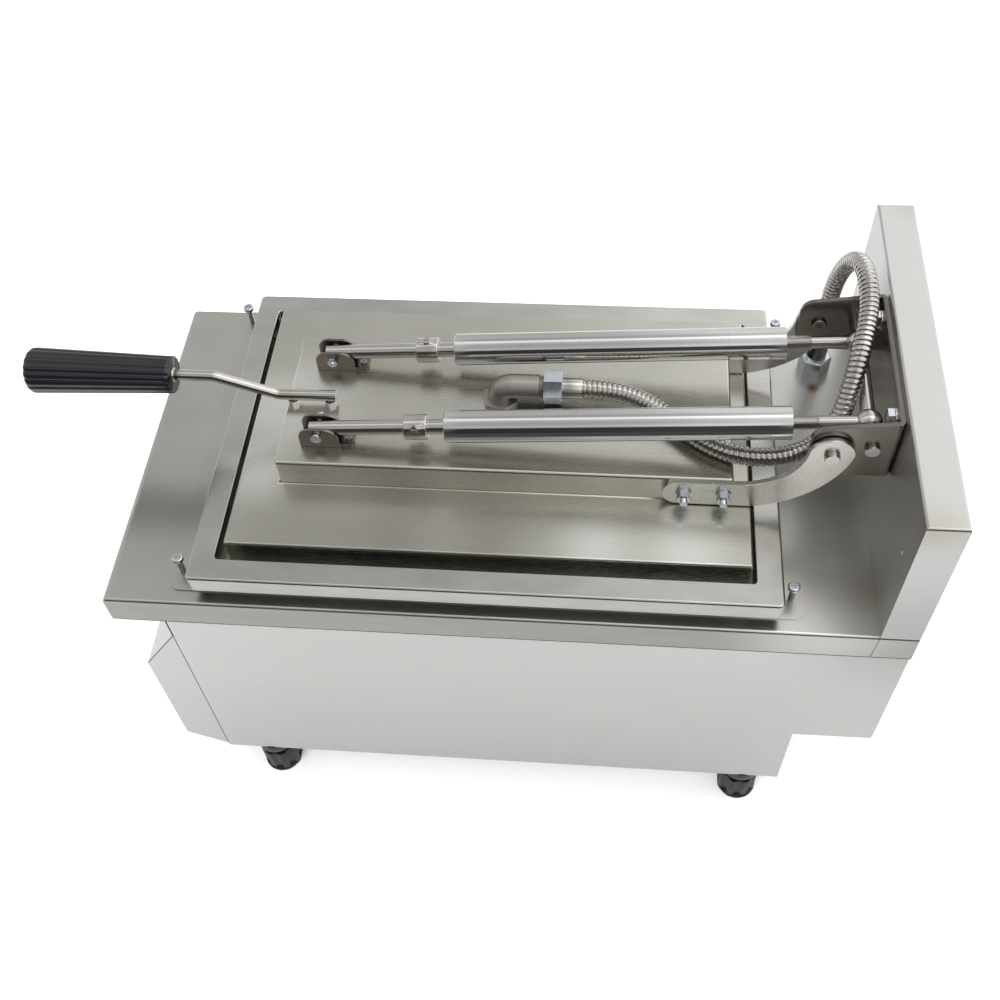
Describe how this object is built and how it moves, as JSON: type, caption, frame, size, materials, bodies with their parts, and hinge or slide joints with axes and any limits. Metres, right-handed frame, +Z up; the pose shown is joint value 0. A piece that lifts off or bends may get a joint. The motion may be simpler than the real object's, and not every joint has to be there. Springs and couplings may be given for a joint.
{
  "type": "countertop waffle baker",
  "caption": "Countertop waffle press: stainless cabinet, ribbed baking plates and a hinged lid pulled open by two spring struts, with an armoured heater lead.",
  "frame": {"origin": "centre of the whole object over the surface that its feet stand on", "axes": "+Z up, +Y from the operator towards the splash guard at the back, +X to the operator's right"},
  "size_m": [0.34, 0.7485, 0.5075],
  "materials": {
    "deck_steel": "brushed warm grey stainless sheet",
    "cabinet_steel": "satin stainless sheet",
    "frame_steel": "brushed stainless, rolled edges",
    "lid_steel": "brushed stainless with faint heat colour",
    "bracket_steel": "laser-cut stainless plate, brown heat tint",
    "tube_steel": "polished tube with satin end bands",
    "rod_steel": "turned stainless bar",
    "fastener_zinc": "bright zinc plate",
    "elbow_steel": "bead-blasted casting",
    "conduit_steel": "interlocked spiral-wound steel",
    "grip_black": "fluted black phenolic",
    "foot_black": "black rubber",
    "plate_cast": "cast aluminium with dark non-stick coating",
    "heater_steel": "oxidised heater sheath",
    "insulation": "mineral wool pad",
    "fascia": "satin anodised plate",
    "knob_black": "black moulded plastic",
    "switch_red": "translucent red rocker",
    "lamp_lens": "coloured lens",
    "control_plastic": "cream moulded housing"
  },
  "bodies": {
    "root": {"deck_top": "deck_steel", "splash_guard": "cabinet_steel", "side_panel_right": "cabinet_steel", "side_panel_left": "cabinet_steel", "front_panel": "cabinet_steel", "rear_panel": "cabinet_steel", "bottom_plate": "cabinet_steel", "control_box": "cabinet_steel", "control_fascia": "fascia", "switch_housing": "knob_black", "pilot_lamps": "lamp_lens", "thermostat": "control_plastic", "timer_unit": "control_plastic", "mounting_flange": "deck_steel", "spill_frame": "frame_steel", "frame_screws": "fastener_zinc", "lower_plate": "plate_cast", "lower_heater": "heater_steel", "lower_pan": "cabinet_steel", "feet": "foot_black", "deck_gland": "fastener_zinc", "terminal_block": "control_plastic", "mains_gland": "knob_black", "hinge_bracket": "bracket_steel", "bracket_bolts": "fastener_zinc", "cross_shaft": "rod_steel", "pivot_pins": "rod_steel", "conduit": "conduit_steel"},
    "lid": {"lid_cover": "lid_steel", "lid_box": "lid_steel", "upper_plate": "plate_cast", "plate_studs": "fastener_zinc", "upper_heater": "heater_steel", "insulation_pad": "insulation", "hinge_arm_right": "bracket_steel", "hinge_arm_left": "bracket_steel", "arm_bolts": "fastener_zinc", "clevis_right": "bracket_steel", "clevis_left": "bracket_steel", "clevis_screws": "fastener_zinc", "handle_rod": "rod_steel", "handle_nuts": "fastener_zinc", "handle_grip": "grip_black", "conduit_elbow": "elbow_steel", "elbow_locknut": "fastener_zinc", "conduit_nut": "fastener_zinc", "conduit_ferrule": "rod_steel"},
    "temperature_knob": {"temperature_knob": "knob_black"},
    "timer_knob": {"timer_knob": "knob_black"},
    "power_switch": {"power_switch": "switch_red"},
    "strut_tube_right": {"strut_tube_right": "tube_steel", "eye_rod_right": "rod_steel", "strut_spring_right": "heater_steel"},
    "strut_rod_right": {"strut_rod_right": "rod_steel", "stop_collar_right": "rod_steel"},
    "strut_tube_left": {"strut_tube_left": "tube_steel", "eye_rod_left": "rod_steel", "strut_spring_left": "heater_steel"},
    "strut_rod_left": {"strut_rod_left": "rod_steel", "stop_collar_left": "rod_steel"}
  },
  "joints": [
    {"name": "lid_hinge", "type": "hinge", "parent": "root", "child": "lid", "pos_m": [0, 0.297, 0.4515], "axis": [-1, 0, 0], "range_deg": [0, 55], "deforming": ["conduit"]},
    {"name": "tube_swing_right", "type": "hinge", "parent": "root", "child": "strut_tube_right", "pos_m": [0.043, 0.327, 0.4555], "axis": [-1, 0, 0], "range_deg": [0, 51.71], "deforming": ["strut_spring_right"]},
    {"name": "rod_swing_right", "type": "hinge", "parent": "lid", "child": "strut_rod_right", "pos_m": [0.043, -0.116, 0.4225], "axis": [-1, 0, 0], "range_deg": [-3.31, 0]},
    {"name": "tube_swing_left", "type": "hinge", "parent": "root", "child": "strut_tube_left", "pos_m": [-0.043, 0.327, 0.4555], "axis": [-1, 0, 0], "range_deg": [0, 51.71], "deforming": ["strut_spring_left"]},
    {"name": "rod_swing_left", "type": "hinge", "parent": "lid", "child": "strut_rod_left", "pos_m": [-0.043, -0.116, 0.4225], "axis": [-1, 0, 0], "range_deg": [-3.31, 0]},
    {"name": "temperature_turn", "type": "hinge", "parent": "root", "child": "temperature_knob", "pos_m": [0.09, -0.285, 0.156], "axis": [0, 1, 0], "range_deg": [0, 300]},
    {"name": "timer_turn", "type": "hinge", "parent": "root", "child": "timer_knob", "pos_m": [-0.09, -0.285, 0.156], "axis": [0, 1, 0], "range_deg": [0, 300]},
    {"name": "power_rock", "type": "hinge", "parent": "root", "child": "power_switch", "pos_m": [0, -0.2815, 0.138], "axis": [-1, 0, 0], "range_deg": [0, 16]}
  ],
  "couplings": [
    {"joint": "tube_swing_right", "follows": "lid_hinge", "ratio": 0.94},
    {"joint": "rod_swing_right", "follows": "lid_hinge", "ratio": -0.06},
    {"joint": "tube_swing_left", "follows": "lid_hinge", "ratio": 0.94},
    {"joint": "rod_swing_left", "follows": "lid_hinge", "ratio": -0.06}
  ]
}
